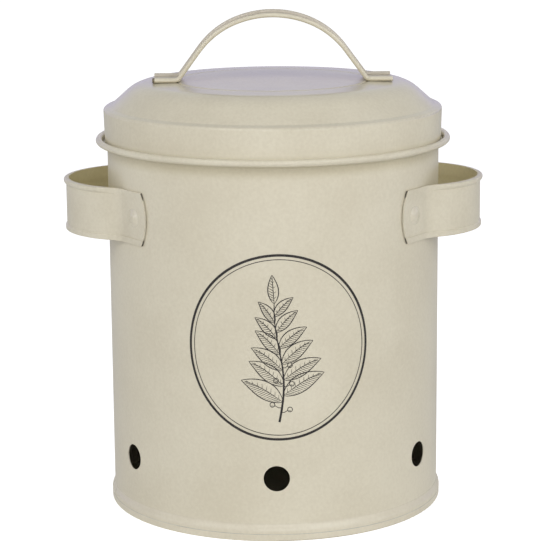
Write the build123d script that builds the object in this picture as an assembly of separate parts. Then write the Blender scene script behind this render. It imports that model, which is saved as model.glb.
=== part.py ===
from build123d import *
import os
from math import acos, atan2, cos, degrees, hypot, radians, sin, sqrt

# Round sheet steel storage tin with a lift-off lid, two side loops and a lid handle.
# Millimetres. +Z is up, -Y is the printed front, X runs through the side loops.
# The origin is the centre of the ring that the tin stands on.

# Driving dimensions: sheet and wall
sheet = 0.5
through_cut = 8.0
overlap = 0.2
wall_radius = 98.5
flange_angle = 75.0
flange_entry_radius = 1.0
curl_radius = 1.65
curl_overhang = 4.85
curl_height = 218.95
curl_turn_angle = 290.0

# Driving dimensions: base seam
seam_gap = 0.1
seam_fold_radius = 0.6
seam_height = 7.6
seam_groove_height = 4.9
seam_lip_radius = 1.2
seam_lip_angle = 80.0
wall_hook_radius = 0.5
wall_hook_height = 4.0
floor_height = 5.5
floor_corner_radius = 0.8
floor_panel_radius = 72.0
floor_panel_bend = 1.5

# Driving dimensions: side lock seam at the back of the wall
lock_seam_width = 6.0
lock_seam_thickness = 0.5
lock_seam_place_angle = 90.0

# Driving dimensions: vent holes, punched at an even pitch before the wall is rolled
vent_radius = 7.5
vent_height = 37.0
vent_pitch = 100.0
vents_each_side = 2

# Driving dimensions: side loops
strap_thickness = 0.9
strap_height = 30.8
strap_centre_height = 181.0
tab_gap = 0.05
tab_end_angle = 47.4
tab_end_bulge = 4.3
tab_curve_radius = 300.0
loop_reach = 123.7
loop_radius = 47.3
loop_bend_radius = 12.0
bead_height = 3.5
top_bead_proud = 1.4
low_bead_proud = 0.8
bead_flattened = 0.35
bead_slope = 0.9
bead_taper_angle = 12.0
hem_height = 7.4
hem_thickness = 0.8

# Driving dimensions: rivets that hold the side loops
rivet_angle = 54.3
rivet_head_radius = 4.5
rivet_head_height = 1.3
rivet_shank_radius = 2.0
rivet_tail_radius = 3.4
rivet_tail_height = 0.9
rivet_fit = 0.05
rivet_seat_gap = 0.02

# Driving dimensions: lid
lid_rest_gap = 0.3
lid_hem_radius = 0.4
lid_hem_height = 4.0
lid_skirt_gap = 1.65
lid_skirt_angle = 1.66
lid_skirt_height = 19.15
lid_shoulder_radius = 1.4
lid_ledge_angle = 17.3
lid_kink_offset = 3.6
lid_kink_radius = 1.0
lid_flank_angle = 41.7
lid_flank_length = 12.6
lid_crown_radius = 20.5
lid_top_angle = 1.5
lid_crease_radius = 57.2
crease_bend_radius = 1.1
crease_bend_angle = 35.0

# Driving dimensions: lid handle
handle_width = 29.0
handle_thickness = 0.9
handle_bead_radius = 1.35
handle_rise = 37.65
handle_foot_reach = 70.5
handle_leg_angle = 36.4
handle_bend_radius = 5.0
handle_shoulder_radius = 48.5
handle_crown_radius = 57.0
handle_crown_angle = 21.0
foot_gap = 0.05


def unit(heading):
    return cos(radians(heading)), sin(radians(heading))


def travel(start, heading, moves):
    """Follow moves and list each as (kind, start, heading, value, turn).

    A move is ("line", length), ("reach", x) or ("arc", radius, turn to the left).
    """
    x, y = start
    steps = []
    for move in moves:
        dx, dy = unit(heading)
        if move[0] == "arc":
            radius, turn = move[1], move[2]
            side = 1 if turn > 0 else -1
            cx, cy = x - dy * radius * side, y + dx * radius * side
            steps.append(("arc", (cx, cy), heading, radius, turn))
            heading += turn
            ex, ey = unit(heading)
            x, y = cx + ey * radius * side, cy - ex * radius * side
        else:
            length = move[1] if move[0] == "line" else (move[1] - x) / dx
            steps.append(("line", (x, y), heading, length, 0))
            x, y = x + dx * length, y + dy * length
    return steps


def point_on(step, share, offset):
    """Point at a share of one step, moved to the left of the path by offset."""
    kind, anchor, heading, value, turn = step
    if kind == "line":
        dx, dy = unit(heading)
        return (anchor[0] + dx * value * share - dy * offset, anchor[1] + dy * value * share + dx * offset)
    side = 1 if turn > 0 else -1
    dx, dy = unit(heading + turn * share)
    reach = value * side - offset
    return (anchor[0] + dy * reach, anchor[1] - dx * reach)


def side_edges(steps, offset):
    edges = []
    for step in steps:
        first, last = point_on(step, 0, offset), point_on(step, 1, offset)
        if step[0] == "line":
            edges.append(Line(first, last))
        else:
            edges.append(ThreePointArc(first, point_on(step, 0.5, offset), last))
    return edges


def strip(steps, low, high):
    """Face between two offsets of one path."""
    inner, outer = side_edges(steps, low), side_edges(steps, high)
    first = Line(point_on(steps[0], 0, low), point_on(steps[0], 0, high))
    last = Line(point_on(steps[-1], 1, high), point_on(steps[-1], 1, low))
    return Face(Wire(inner + outer + [first, last]))


def end_of(steps):
    return point_on(steps[-1], 1, 0)


def spun(face, turn=360, start=0):
    """Turn a section drawn as (radius, height) about the vertical axis."""
    return Rot(0, 0, start) * revolve(Plane.XZ * face, Axis.Z, revolution_arc=turn)


def radial(angle, radius, height):
    """Place at an angle from the front, local Z pointing away from the axis."""
    x, y = sin(radians(angle)) * radius, -cos(radians(angle)) * radius
    return Plane(origin=(x, y, height), z_dir=(x, y, 0), x_dir=(-y, x, 0))


# Wall: from the hook hidden in the base seam, up the tube, out along the flange and round the curl
wall_mid = wall_radius - sheet / 2
curl_centre_radius = wall_radius + curl_overhang
hook_bottom = sheet + seam_gap + sheet / 2 + wall_hook_radius
flange_out, flange_up = sin(radians(flange_angle)), cos(radians(flange_angle))
flange_run = curl_centre_radius + curl_radius * flange_up - wall_mid
flange_length = (flange_run - flange_entry_radius * (1 - flange_up)) / flange_out
flange_start = curl_height - curl_radius * flange_out - flange_length * flange_up
flange_start -= flange_entry_radius * flange_out


def wall_path():
    return travel(
        (wall_mid + 2 * wall_hook_radius, wall_hook_height),
        -90,
        [
            ("line", wall_hook_height - hook_bottom),
            ("arc", wall_hook_radius, -180),
            ("line", flange_start - hook_bottom),
            ("arc", flange_entry_radius, -flange_angle),
            ("line", flange_length),
            ("arc", curl_radius, curl_turn_angle),
        ],
    )


def rivet_stations():
    return [(side, side * angle) for side in (1, -1) for angle in (rivet_angle, 180 - rivet_angle)]


def make_body_wall():
    wall = spun(strip(wall_path(), -sheet / 2, sheet / 2))
    seam_turn = degrees(lock_seam_width / wall_radius)
    seam_section = Pos(wall_mid, (seam_height + flange_start) / 2) * Rectangle(
        sheet + 2 * lock_seam_thickness, flange_start - seam_height - 2
    )
    half_off = Pos(-(sheet + 2 * lock_seam_thickness) / 2 + sheet / 2, 0)
    seam_section = half_off * Pos(lock_seam_thickness + sheet / 2, 0) * seam_section
    wall += spun(seam_section, seam_turn, lock_seam_place_angle - seam_turn / 2)
    vent_step = degrees(vent_pitch / wall_radius)
    for count in range(-vents_each_side, vents_each_side + 1):
        wall -= radial(count * vent_step, wall_mid, vent_height) * Cylinder(vent_radius, through_cut)
    for side, angle in rivet_stations():
        hole = Cylinder(rivet_shank_radius + rivet_fit, through_cut)
        wall -= radial(angle, wall_mid, strap_centre_height) * hole
    return wall


# Base: pressed panel, chuck wall inside the tube, folded round the wall's hook
def base_path():
    chuck_radius = wall_radius - sheet - seam_gap - sheet / 2
    cover_radius = wall_mid + 2 * wall_hook_radius + sheet + seam_gap
    bottom = seam_fold_radius + sheet / 2
    panel_drop = 2 * floor_panel_bend * (1 - cos(radians(45)))
    panel_run = 2 * floor_panel_bend * sin(radians(45))
    floor_run = chuck_radius - floor_corner_radius - floor_panel_radius - panel_run
    groove_rise = 2 * seam_fold_radius * sin(radians(40))
    return travel(
        (0, floor_height + panel_drop),
        0,
        [
            ("line", floor_panel_radius),
            ("arc", floor_panel_bend, -45),
            ("arc", floor_panel_bend, 45),
            ("line", floor_run),
            ("arc", floor_corner_radius, -90),
            ("line", floor_height - floor_corner_radius - bottom),
            ("arc", seam_fold_radius, 90),
            ("line", cover_radius - chuck_radius - 2 * seam_fold_radius),
            ("arc", seam_fold_radius, 90),
            ("line", seam_groove_height - groove_rise / 2 - bottom),
            ("arc", seam_fold_radius, 40),
            ("arc", seam_fold_radius, -40),
            ("line", seam_height - seam_groove_height - groove_rise / 2 - seam_lip_radius),
            ("arc", seam_lip_radius, seam_lip_angle),
            ("reach", wall_radius + 2 * seam_gap),
        ],
    )


def make_base_pan():
    return spun(strip(base_path(), -sheet / 2, sheet / 2))


# Side loop: a strap in three arcs, seen from above for the front right quarter
tab_radius = wall_radius + tab_gap + strap_thickness / 2
loop_centre = loop_reach - strap_thickness / 2 - loop_radius


def crossing(first, first_radius, second, second_radius):
    """Where two circles cross, on the front side."""
    dx, dy = second[0] - first[0], second[1] - first[1]
    apart = hypot(dx, dy)
    along = (first_radius**2 - second_radius**2 + apart**2) / (2 * apart)
    across = sqrt(first_radius**2 - along**2)
    return (first[0] + (dx * along + dy * across) / apart, first[1] + (dy * along - dx * across) / apart)


# The tab is flatter than the wall, so it touches at the rivet and stands off at its end
tab_shift = tab_curve_radius - tab_radius
tab_centre = (-sin(radians(rivet_angle)) * tab_shift, cos(radians(rivet_angle)) * tab_shift)
bend_centre = crossing(
    tab_centre, tab_curve_radius + loop_bend_radius, (loop_centre, 0), loop_radius + loop_bend_radius
)
tab_stop_angle = degrees(atan2(bend_centre[0] - tab_centre[0], tab_centre[1] - bend_centre[1]))
tab_start_angle = rivet_angle - (rivet_angle - tab_end_angle) * wall_radius / tab_curve_radius
loop_start_heading = degrees(atan2(bend_centre[0] - loop_centre, -bend_centre[1]))
loop_half_turn = 90 - loop_start_heading


def loop_path():
    start = (
        tab_centre[0] + sin(radians(tab_start_angle)) * tab_curve_radius,
        tab_centre[1] - cos(radians(tab_start_angle)) * tab_curve_radius,
    )
    return travel(
        start,
        tab_start_angle,
        [
            ("arc", tab_curve_radius, tab_stop_angle - tab_start_angle),
            ("arc", loop_bend_radius, loop_start_heading - tab_stop_angle),
            ("arc", loop_radius, loop_half_turn),
        ],
    )


def bead_section(proud):
    """Rolled edge of the strap at its top, drawn as (distance from loop centre, height)."""
    face = loop_radius + strap_thickness / 2
    inside, outer = face - overlap, face + proud
    knee = (outer, bead_slope * proud - bead_height)
    outline = make_face(
        Polyline([(inside, 0), (outer, 0), knee, (inside, -bead_height - bead_slope * overlap)], close=True)
    )
    for corner, radius in (((outer, 0), 0.85 * proud), (knee, 1.4 * proud)):
        vertex = outline.vertices().sort_by_distance(corner)[0]
        outline = fillet(vertex, radius)
    return outline


def loop_section_at(section, angle):
    """Stand a section up in the vertical plane through the loop's own axis."""
    return Pos(loop_centre, 0, 0) * Rot(0, 0, -angle) * (Plane.XZ * section)


def loop_quarter(proud):
    """Upper front quarter of a loop, with its rolled edge standing proud by a given amount."""
    path = loop_path()
    quarter = extrude(strip(path, -strap_thickness / 2, strap_thickness / 2), strap_height / 2)
    # The rolled edge stands proud round the loop and is pressed flat towards the tab
    full_angle = loop_half_turn - bead_taper_angle
    top = Pos(0, 0, strap_height / 2)
    bead = top * Pos(loop_centre, 0, 0) * revolve(
        Plane.XZ * bead_section(proud), Axis.Z, revolution_arc=full_angle
    )
    bead = mirror(bead, Plane.XZ)
    taper = loft(
        [
            (top * loop_section_at(bead_section(proud), full_angle)).faces()[0],
            (top * loop_section_at(bead_section(bead_flattened), loop_half_turn)).faces()[0],
        ]
    )
    outer = -strap_thickness / 2
    flat_rim = extrude(strip(path[:2], outer - bead_flattened, outer + overlap), bead_height)
    flat_rim = Pos(0, 0, strap_height / 2 - bead_height) * flat_rim
    inner = strap_thickness / 2
    hem = extrude(strip(path[2:], inner - overlap, inner + hem_thickness), hem_height)
    hem = Pos(0, 0, strap_height / 2 - hem_height) * hem
    quarter = quarter + flat_rim + bead + taper + hem
    # Convex end of the tab
    end_radius = ((strap_height / 2) ** 2 + tab_end_bulge**2) / (2 * tab_end_bulge)
    end_plane = radial(tab_end_angle, tab_radius, 0)
    keep = Pos(end_radius, 0) * Circle(end_radius)
    spare = Pos(0, 0) * Rectangle(4 * tab_end_bulge, 2 * strap_height) - keep
    quarter -= end_plane * extrude(spare, through_cut, both=True)
    hole = Cylinder(rivet_shank_radius + rivet_fit, through_cut)
    return quarter - radial(rivet_angle, tab_radius, 0) * hole


def make_right_handle():
    half = loop_quarter(top_bead_proud) + mirror(loop_quarter(low_bead_proud), Plane.XY)
    whole = half + mirror(half, Plane.XZ)
    return Pos(0, 0, strap_centre_height) * whole


def make_rivet(angle):
    seat = tab_radius + strap_thickness / 2 + rivet_seat_gap
    dome_radius = (rivet_head_radius**2 + rivet_head_height**2) / (2 * rivet_head_height)
    head = Pos(0, 0, rivet_head_height - dome_radius) * Sphere(dome_radius)
    head &= Pos(0, 0, dome_radius) * Box(4 * dome_radius, 4 * dome_radius, 2 * dome_radius)
    inner_face = sqrt((wall_radius - sheet) ** 2 - rivet_tail_radius**2) - rivet_seat_gap
    tail_depth = seat - inner_face
    tail = Pos(0, 0, -tail_depth - rivet_tail_height / 2) * Cylinder(rivet_tail_radius, rivet_tail_height)
    shank = Pos(0, 0, -tail_depth / 2) * Cylinder(rivet_shank_radius, tail_depth + overlap)
    return radial(angle, seat, strap_centre_height) * (head + shank + tail)


# Lid: hemmed skirt that drops inside the curl, ledge, sloping flank, nearly flat top with a pressed line
lid_skirt_radius = curl_centre_radius - curl_radius - sheet / 2 - lid_skirt_gap


def seat_height():
    """Height of the lid's hem centre when it rests on the flange."""
    hem_centre = lid_skirt_radius - sheet / 2 - lid_hem_radius
    line_r = wall_mid + flange_entry_radius * (1 - flange_up)
    line_z = flange_start + flange_entry_radius * flange_out
    stand_off = lid_hem_radius + sheet + lid_rest_gap
    return line_z + ((hem_centre - line_r) * flange_up + stand_off) / flange_out


def lid_path():
    hem_radius = lid_skirt_radius - sheet / 2 - 2 * lid_hem_radius
    skirt_turn = 180 - lid_skirt_angle
    ledge_turn = 90 + lid_skirt_angle - lid_ledge_angle
    groove_half = 2 * crease_bend_radius * sin(radians(crease_bend_angle))
    bend = crease_bend_angle
    return travel(
        (hem_radius, seat_height() + lid_hem_height),
        -90,
        [
            ("line", lid_hem_height),
            ("arc", lid_hem_radius, skirt_turn),
            ("line", lid_skirt_height),
            ("arc", lid_shoulder_radius, ledge_turn),
            ("reach", lid_skirt_radius - lid_kink_offset),
            ("arc", lid_kink_radius, lid_ledge_angle - lid_flank_angle),
            ("line", lid_flank_length),
            ("arc", lid_crown_radius, lid_flank_angle - lid_top_angle),
            ("reach", lid_crease_radius + groove_half),
            ("arc", crease_bend_radius, bend),
            ("arc", crease_bend_radius, -2 * bend),
            ("arc", crease_bend_radius, bend + lid_top_angle),
            ("reach", 0),
        ],
    )


def make_lid_cover():
    return spun(strip(lid_path(), -sheet / 2, sheet / 2))


# Lid handle: one strap with rolled edges, bent into an arch whose feet turn outwards
def handle_path():
    lean, crown = handle_leg_angle, handle_crown_angle
    leg_heading = 90 + lean
    shoulder_turn = 90 - lean - crown
    bend_rise = handle_bend_radius * (1 - cos(radians(90 - lean)))
    shoulder_rise = handle_shoulder_radius * (cos(radians(crown)) - cos(radians(90 - lean)))
    crown_rise = handle_crown_radius * (1 - cos(radians(crown)))
    leg_length = (handle_rise - bend_rise - shoulder_rise - crown_rise) / cos(radians(lean))
    half_span = handle_crown_radius * sin(radians(crown))
    half_span += handle_shoulder_radius * (sin(radians(90 - lean)) - sin(radians(crown)))
    half_span += leg_length * sin(radians(lean)) + handle_bend_radius * sin(radians(90 - lean))
    foot = handle_foot_reach - half_span
    start = (handle_foot_reach, end_of(lid_path())[1] + sheet / 2 + foot_gap)
    return travel(
        start,
        180,
        [
            ("line", foot),
            ("arc", handle_bend_radius, leg_heading - 180),
            ("line", leg_length),
            ("arc", handle_shoulder_radius, shoulder_turn),
            ("arc", handle_crown_radius, 2 * crown),
            ("arc", handle_shoulder_radius, shoulder_turn),
            ("line", leg_length),
            ("arc", handle_bend_radius, leg_heading - 180),
            ("line", foot),
        ],
    )


def make_lid_handle():
    path = handle_path()
    band = Plane.XZ * strip(path, -handle_thickness, 0)
    edge_line = handle_width / 2 - handle_bead_radius
    strap = extrude(band, edge_line, both=True)
    route = Wire([Plane.XZ * edge for edge in side_edges(path, -handle_bead_radius)])
    for side in (-1, 1):
        line = Pos(0, side * edge_line, 0) * route
        start = line.position_at(0)
        ring = Plane(origin=start, z_dir=line.tangent_at(0)) * Circle(handle_bead_radius)
        strap += sweep(ring, path=line)
    return strap


body_wall = make_body_wall()
base_pan = make_base_pan()
right_handle = make_right_handle()
left_handle = mirror(right_handle, Plane.YZ)
lid_cover = make_lid_cover()
lid_handle = make_lid_handle()

nodes = {
    "body_wall": body_wall,
    "base_pan": base_pan,
    "right_handle": right_handle,
    "left_handle": left_handle,
    "right_front_rivet": make_rivet(rivet_angle),
    "right_back_rivet": make_rivet(180 - rivet_angle),
    "left_front_rivet": make_rivet(-rivet_angle),
    "left_back_rivet": make_rivet(rivet_angle - 180),
    "lid_cover": lid_cover,
    "lid_handle": lid_handle,
}

os.makedirs("parts", exist_ok=True)
for name, shape in nodes.items():
    shape.label = name
    export_step(shape, f"parts/{name}.step")
    box = shape.bounding_box()
    print(name, "solids", len(shape.solids()), "low", box.min, "high", box.max)
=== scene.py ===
import math

import bmesh
import bpy
from mathutils import Matrix, Vector


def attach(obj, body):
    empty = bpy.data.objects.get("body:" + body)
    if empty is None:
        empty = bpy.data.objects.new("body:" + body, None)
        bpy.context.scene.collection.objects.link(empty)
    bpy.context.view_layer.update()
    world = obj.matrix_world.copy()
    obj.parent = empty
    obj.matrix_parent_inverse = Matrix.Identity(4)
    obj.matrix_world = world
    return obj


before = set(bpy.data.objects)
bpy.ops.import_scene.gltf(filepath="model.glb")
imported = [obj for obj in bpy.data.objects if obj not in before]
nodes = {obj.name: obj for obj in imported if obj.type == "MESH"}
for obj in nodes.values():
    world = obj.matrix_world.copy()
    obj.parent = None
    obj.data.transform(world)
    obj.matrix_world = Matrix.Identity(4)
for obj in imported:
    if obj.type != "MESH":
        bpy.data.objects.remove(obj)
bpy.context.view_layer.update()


# Base pan
# A round panel pressed from 0.5 mm sheet steel, folded round the wall's lower edge as a seam bead.
# It is sprayed with cream powder and baked with the rest of the tin, so the seam is painted over.

MM = 0.001


def linear(hex_colour):
    """Linear colour of an sRGB hex value such as "DAD3BC"."""
    parts = [int(hex_colour[i : i + 2], 16) / 255 for i in (0, 2, 4)]
    return tuple(c / 12.92 if c <= 0.04045 else ((c + 0.055) / 1.055) ** 2.4 for c in parts) + (1,)


def add(tree, kind, settings=None, links=None):
    """Add one node: settings go to its properties or its sockets' values, links to its sockets."""
    node = tree.nodes.new(kind)
    for key, value in (settings or {}).items():
        if isinstance(key, str) and hasattr(node, key):
            setattr(node, key, value)
        else:
            node.inputs[key].default_value = value
    for key, socket in (links or {}).items():
        tree.links.new(socket, node.inputs[key])
    return node


def object_place(tree):
    """Place on the piece, in its own coordinates."""
    return add(tree, "ShaderNodeTexCoord").outputs["Object"]


def noise(tree, size, detail):
    """Soft noise whose patches are about as wide as the size."""
    settings = {"Scale": 1 / size, "Detail": detail}
    return add(tree, "ShaderNodeTexNoise", settings, {"Vector": object_place(tree)}).outputs["Fac"]


def two_tone(tree, mask, low, high):
    """Blend between two colours, each given as (position on the mask, sRGB hex)."""
    ramp = add(tree, "ShaderNodeValToRGB", {}, {"Fac": mask})
    for element, (position, colour) in zip(ramp.color_ramp.elements, (low, high)):
        element.position = position
        element.color = linear(colour)
    return ramp.outputs["Color"]


def new_material(name):
    material = bpy.data.materials.new(name)
    material.use_nodes = True
    material.node_tree.nodes.clear()
    return material, material.node_tree


def surface(tree, shader):
    add(tree, "ShaderNodeOutputMaterial", {}, {"Surface": shader.outputs[0]})


def powder_coat(name, light="DED7C1", dark="D4CCB5", roughness=0.29, cloud_mm=40.0, wave_um=14.0, ior=1.5):
    """Cream powder coat on sheet steel: a plastic film with a satin gloss and faint orange peel.

    The film is a little thinner in places, which shows as clouds of a slightly deeper cream.
    The peel is really about 1 mm across and is drawn at 1.6 mm so that it shows.
    """
    speck_size, peel_size, wave_size = 1.8 * MM, 1.6 * MM, 30 * MM
    peel_depth, wave_depth = 16e-6, wave_um * 1e-6
    material, tree = new_material(name)
    clouds = noise(tree, cloud_mm * MM, 3.0)
    specks = noise(tree, speck_size, 2.0)
    both = add(
        tree, "ShaderNodeMix", {"data_type": "FLOAT", "Factor": 0.40}, {"A": clouds, "B": specks}
    ).outputs["Result"]
    gloss = add(
        tree,
        "ShaderNodeMapRange",
        {"To Min": roughness - 0.03, "To Max": roughness + 0.04},
        {"Value": clouds},
    )
    peel = add(
        tree,
        "ShaderNodeBump",
        {"Strength": 0.5, "Distance": peel_depth},
        {"Height": noise(tree, peel_size, 1.0)},
    )
    wavy = add(
        tree,
        "ShaderNodeBump",
        {"Strength": 0.5, "Distance": wave_depth},
        {"Height": noise(tree, wave_size, 0.0), "Normal": peel.outputs["Normal"]},
    )
    paint = add(
        tree,
        "ShaderNodeBsdfPrincipled",
        {"Metallic": 0.0, "IOR": ior},
        {
            "Base Color": two_tone(tree, both, (0.36, dark), (0.64, light)),
            "Roughness": gloss.outputs["Result"],
            "Normal": wavy.outputs["Normal"],
        },
    )
    surface(tree, paint)
    return material


def plain_surface(tree, tint, roughness):
    """Close a material with one smooth shader of this colour."""
    settings = {"Roughness": roughness, "IOR": 1.5}
    surface(tree, add(tree, "ShaderNodeBsdfPrincipled", settings, {"Base Color": tint}))


def shade_paint(name, light, dark):
    """Greyer, darker matt paint: painted shade for a shaded line or hollow."""
    material, tree = new_material(name)
    tint = two_tone(tree, noise(tree, 9 * MM, 2.0), (0.38, dark), (0.62, light))
    plain_surface(tree, tint, 0.45)
    return material


def finish_node(name, material):
    """Give a carried-over piece its finish in every slot."""
    for slot in nodes[name].material_slots:
        slot.material = material


def new_piece(name, mesh, material, smooth=False):
    """Make a finished mesh into a named piece of the scene."""
    data = bpy.data.meshes.new(name)
    mesh.to_mesh(data)
    mesh.free()
    data.materials.append(material)
    for polygon in data.polygons:
        polygon.use_smooth = smooth
    piece = bpy.data.objects.new(name, data)
    bpy.context.scene.collection.objects.link(piece)
    return piece


def turned(name, outline, material, steps=360):
    """A ring turned from a closed outline of (radius, height) points about the vertical axis."""
    mesh = bmesh.new()
    rows = []
    for i in range(steps):
        angle = 2 * math.pi * i / steps
        rows.append([mesh.verts.new((r * math.cos(angle), r * math.sin(angle), z)) for r, z in outline])
    for i in range(steps):
        here, there = rows[i], rows[(i + 1) % steps]
        for k in range(len(outline)):
            mesh.faces.new((here[k - 1], there[k - 1], there[k], here[k]))
    bmesh.ops.recalc_face_normals(mesh, faces=mesh.faces)
    piece = new_piece(name, mesh, material, smooth=True)
    piece.data.set_sharp_from_angle(angle=math.radians(30))
    return piece


# The base and seam cream is drawn a touch lighter than the wall's, as painted light for the brighter band at
# the tin's foot.
seam_colours = {"light": "E0D9C4", "dark": "D6CEB8"}
finish_node("base_pan", powder_coat("powder_coat_base", **seam_colours))

# The paint bridges the top of the fold, so the wall swells softly into it, and ends at the fold's edge.
fold_radius = 100.13 * MM
wall_meets_paint = (98.53 * MM, 10.2 * MM)
paint_full = 5.6 * MM
paint_ends = 4.35 * MM
paint_back = 98.0 * MM
swell_steps = 12
seam_section = []
for step in range(swell_steps + 1):
    share = step / swell_steps
    rise = (1 - math.cos(math.pi * share)) / 2
    seam_section.append(
        (
            wall_meets_paint[0] + (fold_radius - wall_meets_paint[0]) * rise,
            wall_meets_paint[1] + (paint_full - wall_meets_paint[1]) * share,
        )
    )
seam_section += [(fold_radius, paint_ends), (paint_back, paint_ends), (paint_back, wall_meets_paint[1])]
seam_coat = powder_coat("powder_coat_seam", roughness=0.26, **seam_colours)
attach(turned("seam_paint", seam_section, seam_coat), "tin")

# A thin line of painted shade, greyer than the paint, lies under the paint's lower edge where the seam's
# groove is.
line_back, line_face = fold_radius - 0.1 * MM, fold_radius + 0.01 * MM
line_bottom = paint_ends - 0.26 * MM
line_section = [
    (line_back, line_bottom),
    (line_face, line_bottom),
    (line_face, paint_ends),
    (line_back, paint_ends),
]
groove_shade_coat = shade_paint("painted_shade_on_fold", "C4C2B6", "A3A39C")
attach(turned("seam_groove_shade", line_section, groove_shade_coat), "tin")


# Wall
# One sheet rolled to a tube, lock seamed at the back, punched with vent holes, flared and curled at the rim.
# It hooks into the base seam. Its paint is the same cream powder coat, on the widest and calmest surface.


def recolour(material, mask, colour, blend="MIX"):
    """Change a paint's colour where the mask is 1."""
    tree = material.node_tree
    paint = next(node for node in tree.nodes if node.type == "BSDF_PRINCIPLED")
    cream = paint.inputs["Base Color"].links[0].from_socket
    changed = add(
        tree,
        "ShaderNodeMix",
        {"data_type": "RGBA", "blend_type": blend, "B": linear(colour)},
        {"Factor": mask, "A": cream},
    )
    tree.links.new(changed.outputs["Result"], paint.inputs["Base Color"])


def maths(tree, operation, *values):
    """One math node, where each value is a number or another node's output."""
    numbers = {k: value for k, value in enumerate(values) if isinstance(value, float)}
    sockets = {k: value for k, value in enumerate(values) if not isinstance(value, float)}
    return add(tree, "ShaderNodeMath", {"operation": operation, **numbers}, sockets).outputs[0]


def along(tree, axis):
    """One coordinate of the place on the piece."""
    return add(tree, "ShaderNodeSeparateXYZ", {}, {0: object_place(tree)}).outputs[axis]


def ramp(tree, value, low, high):
    """Mask that goes from 0 at the low value to 1 at the high one, which may lie below it."""
    ends = {"From Min": low, "From Max": high}
    return add(tree, "ShaderNodeMapRange", ends, {"Value": value}).outputs["Result"]


def from_axis(tree, x, y):
    """Distance from an upright axis."""
    flat = add(tree, "ShaderNodeCombineXYZ", {}, {"X": x, "Y": y})
    return add(tree, "ShaderNodeVectorMath", {"operation": "LENGTH"}, {0: flat.outputs[0]}).outputs["Value"]


wall_radius = 98.5 * MM
flange_slope = 0.268
flange_line = (216.08 - flange_slope * 99.0) * MM
flange_ends = 103.3 * MM
curl_starts = 102.4 * MM
shade_starts, shade_full = 208.5 * MM, 213.0 * MM

# Painted light: the flared mouth inside the curl is made paler where it lies in shade under the lid's skirt.
# Painted shade: the wall just under the curl is darkened.
wall_paint = powder_coat("powder_coat_wall", cloud_mm=55.0, wave_um=20.0)
tree = wall_paint.node_tree
reach = from_axis(tree, along(tree, "X"), along(tree, "Y"))
height = along(tree, "Z")
levelled = maths(tree, "MULTIPLY_ADD", reach, -flange_slope, height)
over_flange = maths(tree, "GREATER_THAN", levelled, flange_line)
mouth_painted_light = maths(tree, "MULTIPLY", maths(tree, "LESS_THAN", reach, flange_ends), over_flange)
shade_under_curl = maths(
    tree, "MULTIPLY", maths(tree, "LESS_THAN", reach, curl_starts), ramp(tree, height, shade_starts, shade_full)
)
recolour(wall_paint, shade_under_curl, "F1EFE7", "MULTIPLY")
recolour(wall_paint, mouth_painted_light, "F2EDDD")
finish_node("body_wall", wall_paint)


# Front print
# Two rings and a bay sprig screen printed in black enamel ink on the painted wall, as a film 0.07 mm thick.
# The ink is laid as ribbons that follow the wall's curve, each line as wide as the screen printed it.

print_centre = (1.8 * MM, 113.4 * MM)
ink_height = 0.07 * MM
screen_stretch = 1.024
ring_outer_edge = 52.6 * MM
ring_line = 1.4 * MM
inner_ring_edge = 49.7 * MM
inner_ring_line = 0.42 * MM


def on_wall(u, v):
    """Point on the print's film: u along the wall from its centre, v up, a little drawn out by the screen."""
    angle = (print_centre[0] + u) / wall_radius
    reach = wall_radius + ink_height
    return Vector((math.sin(angle) * reach, -math.cos(angle) * reach, print_centre[1] + v * screen_stretch))


def ribbon(mesh, line, widths, closed=False):
    """Lay one ink line: points in the print's plane, with a width at each."""
    count = len(line)
    rows = []
    for i, (u, v) in enumerate(line):
        before = line[i - 1] if i or closed else line[i]
        after = line[(i + 1) % count] if i < count - 1 or closed else line[i]
        du, dv = after[0] - before[0], after[1] - before[1]
        length = math.hypot(du, dv)
        half = widths[i] / 2
        side_u, side_v = -dv / length * half, du / length * half
        left, right = on_wall(u + side_u, v + side_v), on_wall(u - side_u, v - side_v)
        rows.append((mesh.verts.new(left), mesh.verts.new(right)))
    for i in range(count if closed else count - 1):
        a, b = rows[i], rows[(i + 1) % count]
        mesh.faces.new((a[0], a[1], b[1], b[0]))


def circle(centre, radius, angles):
    return [(centre[0] + radius * math.cos(t), centre[1] + radius * math.sin(t)) for t in angles]


def ring(mesh, centre, radius, width, steps):
    turn = [2 * math.pi * i / steps for i in range(steps)]
    ribbon(mesh, circle(centre, radius, turn), [width] * steps, closed=True)


def tapered(width, count, tip=0.35):
    """Widths of a pen line that swells in its middle."""
    return [width * (tip + (1 - tip) * math.sin(math.pi * i / (count - 1))) for i in range(count)]


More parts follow.
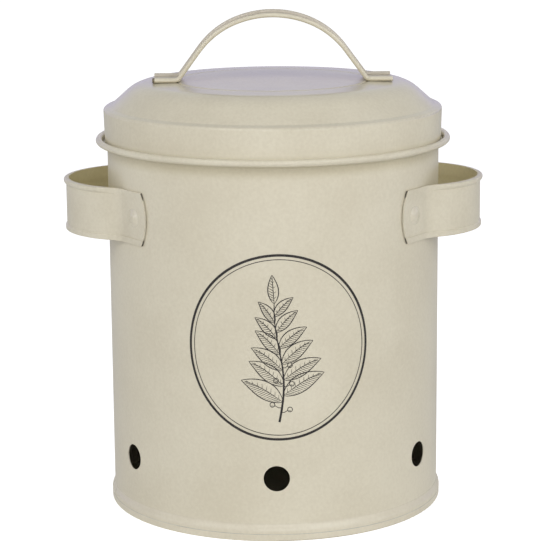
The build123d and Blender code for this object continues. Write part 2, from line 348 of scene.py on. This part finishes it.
def leaf(mesh, root, heading, length, breadth, curl):
    """A pointed leaf in line: two edges, a midrib, shading strokes on one half and veins on the other."""
    steps = 16
    stroke_pitch = 1.35 * MM
    shortest_stroke = 0.5 * MM

    def place(along_leaf, across):
        direction = heading + curl * along_leaf * along_leaf * 0.5
        x, y = along_leaf * length, across
        return (
            root[0] + x * math.cos(direction) - y * math.sin(direction),
            root[1] + x * math.sin(direction) + y * math.cos(direction),
        )

    def edge(along_leaf):
        return breadth / 2 * math.sin(math.pi * along_leaf**0.85) ** 0.9

    shares = [i / steps for i in range(steps + 1)]
    for side in (1, -1):
        outline = [place(t, side * edge(t)) for t in shares]
        ribbon(mesh, outline, tapered(0.56 * MM, steps + 1, 0.55))
    ribbon(mesh, [place(t * 0.93, 0) for t in shares], tapered(0.46 * MM, steps + 1, 0.45))
    side = -1 if math.cos(heading) > 0 else 1
    strokes = max(6, int(length / stroke_pitch))
    for k in range(1, strokes):
        t = k / strokes
        reach = edge(min(t + 0.10, 0.98)) * 0.9
        if reach < shortest_stroke:
            continue
        stroke = [place(t + 0.10 * s, side * reach * s) for s in (0.12, 0.4, 0.7, 1.0)]
        ribbon(mesh, stroke, [0.36 * MM, 0.30 * MM, 0.24 * MM, 0.14 * MM])
        if k % 2 == 0:
            vein = [place(t + 0.09 * s, -side * reach * s) for s in (0.1, 0.35, 0.6)]
            ribbon(mesh, vein, [0.28 * MM, 0.22 * MM, 0.12 * MM])


def stem_point(share):
    """The sprig's stem, from its cut end at 0 to the tip at 1."""
    return (2.6 * MM * math.sin(math.pi * 1.6 * share), (-42 + 67 * share) * MM)


def draw_berry(mesh, root, side, reach):
    """An open ring on a short stalk, with a shading stroke low inside it."""
    centre = (root[0] + side * reach, root[1] + 0.35 * reach)
    berry = 1.35 * MM
    ring(mesh, centre, berry, 0.42 * MM, 18)
    ribbon(mesh, circle(centre, 0.75 * MM, (3.6, 4.2, 4.8, 5.4)), tapered(0.3 * MM, 4))
    end = (centre[0] - side * berry * 0.94, centre[1] - 0.4 * MM)
    middle = ((root[0] + end[0]) / 2, (root[1] + end[1]) / 2 - 0.5 * MM)
    ribbon(mesh, [root, middle, end], [0.5 * MM, 0.4 * MM, 0.34 * MM])


def draw_sprig(mesh):
    """A stem with six pairs of leaves that shorten upwards, one leaf at its tip and five berries."""
    steps = 28
    stem = [stem_point(i / steps) for i in range(steps + 1)]
    ribbon(mesh, stem, [(1.3 - 0.85 * i / steps) * MM for i in range(steps + 1)])
    pairs = 6
    for k in range(pairs):
        share = 0.17 + 0.80 * k / pairs
        length = (26.5 - 2.3 * k) * MM
        for side in (1, -1):
            root = stem_point(share + (0.055 if side > 0 else 0.0))
            spread = math.radians(54 - 4.2 * k + 4 * side * (k % 2))
            leaf(mesh, root, math.pi / 2 - side * spread, length, length * 0.37, -side * math.radians(17))
    leaf(mesh, stem_point(1.0), math.pi / 2 + math.radians(4), 16 * MM, 6.0 * MM, 0.0)
    berries = ((0.08, 1, 5.0), (0.12, -1, 5.4), (0.30, 1, 4.6), (0.33, -1, 4.4), (0.46, 1, 4.2))
    for share, side, reach in berries:
        draw_berry(mesh, stem_point(share), side, reach * MM)


def enamel_ink():
    """Screen-printed enamel ink: a thin, slightly warm black film, a little less glossy than the paint.

    The film is uneven, so it thins to a dark brown in small patches about 0.8 mm across.
    """
    material, tree = new_material("black_enamel_ink")
    tint = two_tone(tree, noise(tree, 0.8 * MM, 2.0), (0.35, "1B1816"), (0.75, "37312C"))
    plain_surface(tree, tint, 0.34)
    return material


ink_mesh = bmesh.new()
ring(ink_mesh, (0, 0), ring_outer_edge - ring_line / 2, ring_line, 180)
ring(ink_mesh, (0, 0), inner_ring_edge - inner_ring_line / 2, inner_ring_line, 180)
draw_sprig(ink_mesh)
bmesh.ops.recalc_face_normals(ink_mesh, faces=ink_mesh.faces)
for face in ink_mesh.faces:
    face.normal_update()
    middle = face.calc_center_median()
    if face.normal.dot(Vector((middle.x, middle.y, 0))) < 0:
        face.normal_flip()
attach(new_piece("front_print", ink_mesh, enamel_ink(), smooth=True), "tin")


# Side loops and their rivets
# Straps of sheet steel with rolled edges, bent to loops and riveted through the wall before painting.
# The paint covers strap and rivet head alike, and pools a little round each head.

loop_centre = 75.95 * MM
loop_inner_radius = 47.2 * MM


def shade_inside_loop(material, colour):
    """Painted shade inside the loop: a deeper, yellower cream, as the light there has bounced between the
    cream strap and wall.
    """
    tree = material.node_tree
    sideways = maths(tree, "SUBTRACT", maths(tree, "ABSOLUTE", along(tree, "X")), loop_centre)
    reach = from_axis(tree, sideways, along(tree, "Y"))
    recolour(material, maths(tree, "LESS_THAN", reach, loop_inner_radius), colour, "MULTIPLY")
    return material


def rivet_coat(name):
    """The same powder coat, baked smoother and glossier over a small head."""
    return powder_coat(name, cloud_mm=8.0, wave_um=2.0, roughness=0.2, ior=1.66)


# Each loop's inside is darkened as painted shade, a little more on the left loop.
for name, inside_shade_colour in (("right_handle", "FFFDE8"), ("left_handle", "FBF8DE")):
    strap_coat = powder_coat("powder_coat_" + name, cloud_mm=25.0, wave_um=10.0)
    finish_node(name, shade_inside_loop(strap_coat, inside_shade_colour))
for name in ("right_front_rivet", "right_back_rivet", "left_front_rivet", "left_back_rivet"):
    finish_node(name, rivet_coat("powder_coat_" + name))

# Paint pooled round each rivet head, as a soft ring from the head's crown down to the strap.
strap_middle = 181.0 * MM
rivet_azimuth = math.radians(54.3)
head_seat = 99.5 * MM
pool_bore, pool_crest, pool_inner, pool_outer = 2.75 * MM, 3.2 * MM, 3.35 * MM, 5.9 * MM
pool_rise, pool_dip, pool_sunk = 0.60 * MM, 0.08 * MM, -0.25 * MM
pool_steps = 8
pool_section = [(pool_bore, 0.1 * MM), (pool_crest, pool_rise)]
for step in range(pool_steps + 1):
    share = step / pool_steps
    radius = pool_inner + (pool_outer - pool_inner) * share
    pool_section.append((radius, pool_rise * (1 - share) ** 2 - pool_dip * share))
pool_section += [(pool_outer, pool_sunk), (pool_bore, pool_sunk)]
pool_paint = rivet_coat("powder_coat_rivet_pool")
for side_name, side in (("right", 1), ("left", -1)):
    for end_name, end in (("front", -1), ("back", 1)):
        pool = turned(side_name + "_" + end_name + "_rivet_paint", pool_section, pool_paint, steps=64)
        outward = Vector((side * math.sin(rivet_azimuth), end * math.cos(rivet_azimuth), 0))
        seat = Matrix.Translation(outward * head_seat + Vector((0, 0, strap_middle)))
        pool.matrix_world = seat @ outward.to_track_quat("Z", "X").to_matrix().to_4x4()
        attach(pool, "tin")

# A strip of painted shade along the sheared end of each strap, where it stands a little off the wall, darkest
# at the corners.
tab_radius = 300.0 * MM
tab_shift = 201.0 * MM
tab_start = math.radians(52.03)
tab_outer_face, tab_inner_face = tab_radius + 0.44 * MM, tab_radius - 0.42 * MM
strap_half = 15.35 * MM
end_bulge = 4.3 * MM
end_radius = (strap_half**2 + end_bulge**2) / (2 * end_bulge)
outer_stand_off, inner_stand_off = 0.09 * MM, 0.06 * MM
corner_lift = 0.35 * MM
corner_from = 0.70
corner_share = 0.30
corner_shade_starts, corner_shade_full = 11.0 * MM, 12.2 * MM


def strap_end_shade_paint():
    """Painted shade on a strap's sheared end: greyer than the paint, nearly black near the strap's corners.
    """
    material, tree = new_material("thin_paint_on_cut_edge")
    from_middle = maths(tree, "ABSOLUTE", maths(tree, "SUBTRACT", along(tree, "Z"), strap_middle))
    tint = add(
        tree,
        "ShaderNodeMix",
        {"data_type": "RGBA", "A": linear("CCC7B4"), "B": linear("5A564C")},
        {"Factor": ramp(tree, from_middle, corner_shade_starts, corner_shade_full)},
    ).outputs["Result"]
    plain_surface(tree, tint, 0.55)
    return material


end_shade_finish = strap_end_shade_paint()
for side_name, side in (("right", 1), ("left", -1)):
    for end_name, end in (("front", 1), ("back", -1)):
        mesh = bmesh.new()
        rows = []
        for step in range(41):
            height = strap_half * (step / 20 - 1)
            set_back = end_radius - math.sqrt(end_radius**2 - height**2)
            corner = max(0.0, abs(height) / strap_half - corner_from) / corner_share
            row = []
            for radius, stand_off in (
                (tab_outer_face, outer_stand_off),
                (tab_inner_face, inner_stand_off + corner_lift * corner),
            ):
                angle = tab_start + (set_back - stand_off) / tab_radius
                x = math.sin(angle) * radius - math.sin(rivet_azimuth) * tab_shift
                y = -math.cos(angle) * radius + math.cos(rivet_azimuth) * tab_shift
                row.append(mesh.verts.new((side * x, end * y, strap_middle + height)))
            rows.append(row)
        for low, high in zip(rows, rows[1:]):
            mesh.faces.new((low[0], low[1], high[1], high[0]))
        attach(new_piece(side_name + "_" + end_name + "_cut_edge", mesh, end_shade_finish), "tin")


# Lid and its handle
# The lid is one deep pressing with a hemmed skirt. Its handle is a strap with rolled edges, spot welded on.
# Both carry the same cream powder coat as the tin.

hem_light_fades, hem_light_full = 224.0 * MM, 217.0 * MM
handle_shade_starts, handle_shade_full = -12.6 * MM, -11.4 * MM

# Painted light: the lid's cream is lightened towards the hem, fading out up the skirt, against the shade that
# falls there by the curl.
lid_paint = powder_coat("powder_coat_lid", cloud_mm=50.0, wave_um=18.0, roughness=0.22)
tree = lid_paint.node_tree
recolour(lid_paint, ramp(tree, along(tree, "Z"), hem_light_fades, hem_light_full), "EAE4D0")
finish_node("lid_cover", lid_paint)

# Painted shade: behind its front rolled edge the handle is a little greyer and bluer.
handle_paint = powder_coat("powder_coat_lid_handle", cloud_mm=25.0, wave_um=8.0, roughness=0.25)
tree = handle_paint.node_tree
recolour(handle_paint, ramp(tree, along(tree, "Y"), handle_shade_starts, handle_shade_full), "F0EFF6", "MULTIPLY")
finish_node("lid_handle", handle_paint)

# A small dark ring of painted shade round the open end of the front rolled edge on the left foot, where shade
# falls at the foot's tip.
shade_ring_place = Vector((-70.52, -13.15, 254.66)) * MM
shade_ring_bore, shade_ring_rim, shade_ring_far_rim, shade_ring_length = 0.9 * MM, 1.38 * MM, 1.37 * MM, 1.3 * MM
shade_ring_section = [(shade_ring_bore, 0.0), (shade_ring_rim, 0.0), (shade_ring_far_rim, shade_ring_length), (shade_ring_bore, shade_ring_length)]
shade_ring = turned("bead_end_shade", shade_ring_section, shade_paint("painted_shade_bead_end", "7C725A", "554C3A"), steps=32)
shade_ring.matrix_world = Matrix.Translation(shade_ring_place) @ Matrix.Rotation(math.pi / 2, 4, "Y")
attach(shade_ring, "lid")


# Floor
# A plain white studio table, matt, running far past the view on every side.
# It shows as white except where the tin shades it.

floor_size = 25.0
floor_mesh = bmesh.new()
bmesh.ops.create_grid(floor_mesh, x_segments=1, y_segments=1, size=floor_size)
floor_paint, tree = new_material("matt_white_table")
tone = two_tone(tree, noise(tree, 60 * MM, 2.0), (0.0, "E6E6E6"), (1.0, "EAEAEA"))
matt = add(tree, "ShaderNodeBsdfDiffuse", {}, {"Color": tone})
lit_from_below = add(tree, "ShaderNodeEmission", {"Color": (1, 1, 1, 1), "Strength": 0.12})
seen_white = add(tree, "ShaderNodeEmission", {"Color": (1, 1, 1, 1), "Strength": 0.80})
camera_ray = add(tree, "ShaderNodeLightPath").outputs["Is Camera Ray"]
seen = add(
    tree, "ShaderNodeMixShader", {}, {0: camera_ray, 1: lit_from_below.outputs[0], 2: seen_white.outputs[0]}
)
surface(tree, add(tree, "ShaderNodeAddShader", {}, {0: matt.outputs[0], 1: seen.outputs[0]}))
new_piece("floor", floor_mesh, floor_paint)


# Studio light
# Even light from a white tent all round, a large soft lamp in front and a weaker one to each side.
# A small lamp far round on each side puts the highlights on rivets, beads and curl.

world = bpy.data.worlds.new("white_tent")
bpy.context.scene.world = world
world.use_nodes = True
tree = world.node_tree
tree.nodes.clear()
upward = add(tree, "ShaderNodeTexCoord").outputs["Generated"]
upward = add(tree, "ShaderNodeSeparateXYZ", {}, {0: upward}).outputs["Z"]
fade = add(
    tree,
    "ShaderNodeMapRange",
    {"From Min": 0.0, "From Max": 1.0, "To Min": 0.83, "To Max": 0.12},
    {"Value": upward},
)
tent = add(tree, "ShaderNodeBackground", {"Color": linear("FAFAFF")}, {"Strength": fade.outputs["Result"]})

# Seen direct and in gloss, the backdrop is a cloth that is pale lilac low down and nearly white above.
cloth = add(
    tree,
    "ShaderNodeMix",
    {"data_type": "RGBA", "A": linear("D0CCF4"), "B": linear("E8E8E6")},
    {"Factor": ramp(tree, upward, 0.08, 0.35)},
)
backdrop = add(tree, "ShaderNodeBackground", {"Strength": 1.0}, {"Color": cloth.outputs["Result"]})
rays = add(tree, "ShaderNodeLightPath").outputs
seen_direct = maths(tree, "MAXIMUM", rays["Is Camera Ray"], rays["Is Glossy Ray"])
seen_direct = maths(tree, "MAXIMUM", seen_direct, rays["Is Transmission Ray"])
mix = add(tree, "ShaderNodeMixShader", {}, {0: seen_direct, 1: tent.outputs[0], 2: backdrop.outputs[0]})
add(tree, "ShaderNodeOutputWorld", {}, {"Surface": mix.outputs[0]})


def soft_lamp(name, place, aim, size, watts):
    lamp = bpy.data.lights.new(name, "AREA")
    lamp.shape = "RECTANGLE"
    lamp.size, lamp.size_y = size
    lamp.energy = watts
    holder = bpy.data.objects.new(name, lamp)
    bpy.context.scene.collection.objects.link(holder)
    holder.location = place
    holder.rotation_mode = "QUATERNION"
    holder.rotation_quaternion = (Vector(aim) - Vector(place)).to_track_quat("-Z", "Y")


tin_middle = (0, 0, 0.13)
below_rim = (0, 0, 0.18)
soft_lamp("front_softbox", (0.10, -2.0, 0.75), tin_middle, (1.3, 1.0), 7.15)
soft_lamp("left_softbox", (-0.99, -1.10, 1.18), tin_middle, (0.9, 0.9), 5.4)
soft_lamp("right_softbox", (0.99, -1.10, 1.18), tin_middle, (1.1, 0.9), 6.7)
soft_lamp("left_small_lamp", (-1.460, -0.337, 0.259), below_rim, (0.16, 0.16), 0.45)
soft_lamp("right_small_lamp", (1.460, -0.337, 0.259), below_rim, (0.16, 0.16), 0.5)


# Camera
# A long lens a little above the lid, facing the front, as the tin was photographed.
# Its focal length is given in pixels of a picture 550 pixels wide.

camera_distance = 1275.2 * MM
camera_height = 403.0 * MM
camera_pitch = 0.2075
camera_turn = 0.006
camera_roll = -0.0084
sensor_width = 36.0
focal_pixels, picture_width = 2157.7, 550
camera = bpy.data.objects.new("camera", bpy.data.cameras.new("camera"))
bpy.context.scene.collection.objects.link(camera)
camera.data.sensor_width = sensor_width
camera.data.lens = sensor_width * focal_pixels / picture_width
camera.data.shift_x = 0.0017
camera.data.shift_y = 0.0005
stand = Matrix.Translation(
    (-camera_distance * math.sin(camera_turn), -camera_distance * math.cos(camera_turn), camera_height)
)
camera.matrix_world = (
    stand
    @ Matrix.Rotation(-camera_turn, 4, "Z")
    @ Matrix.Rotation(math.pi / 2 - camera_pitch, 4, "X")
    @ Matrix.Rotation(camera_roll, 4, "Z")
)
bpy.context.scene.camera = camera
bpy.context.scene.view_settings.view_transform = "Standard"
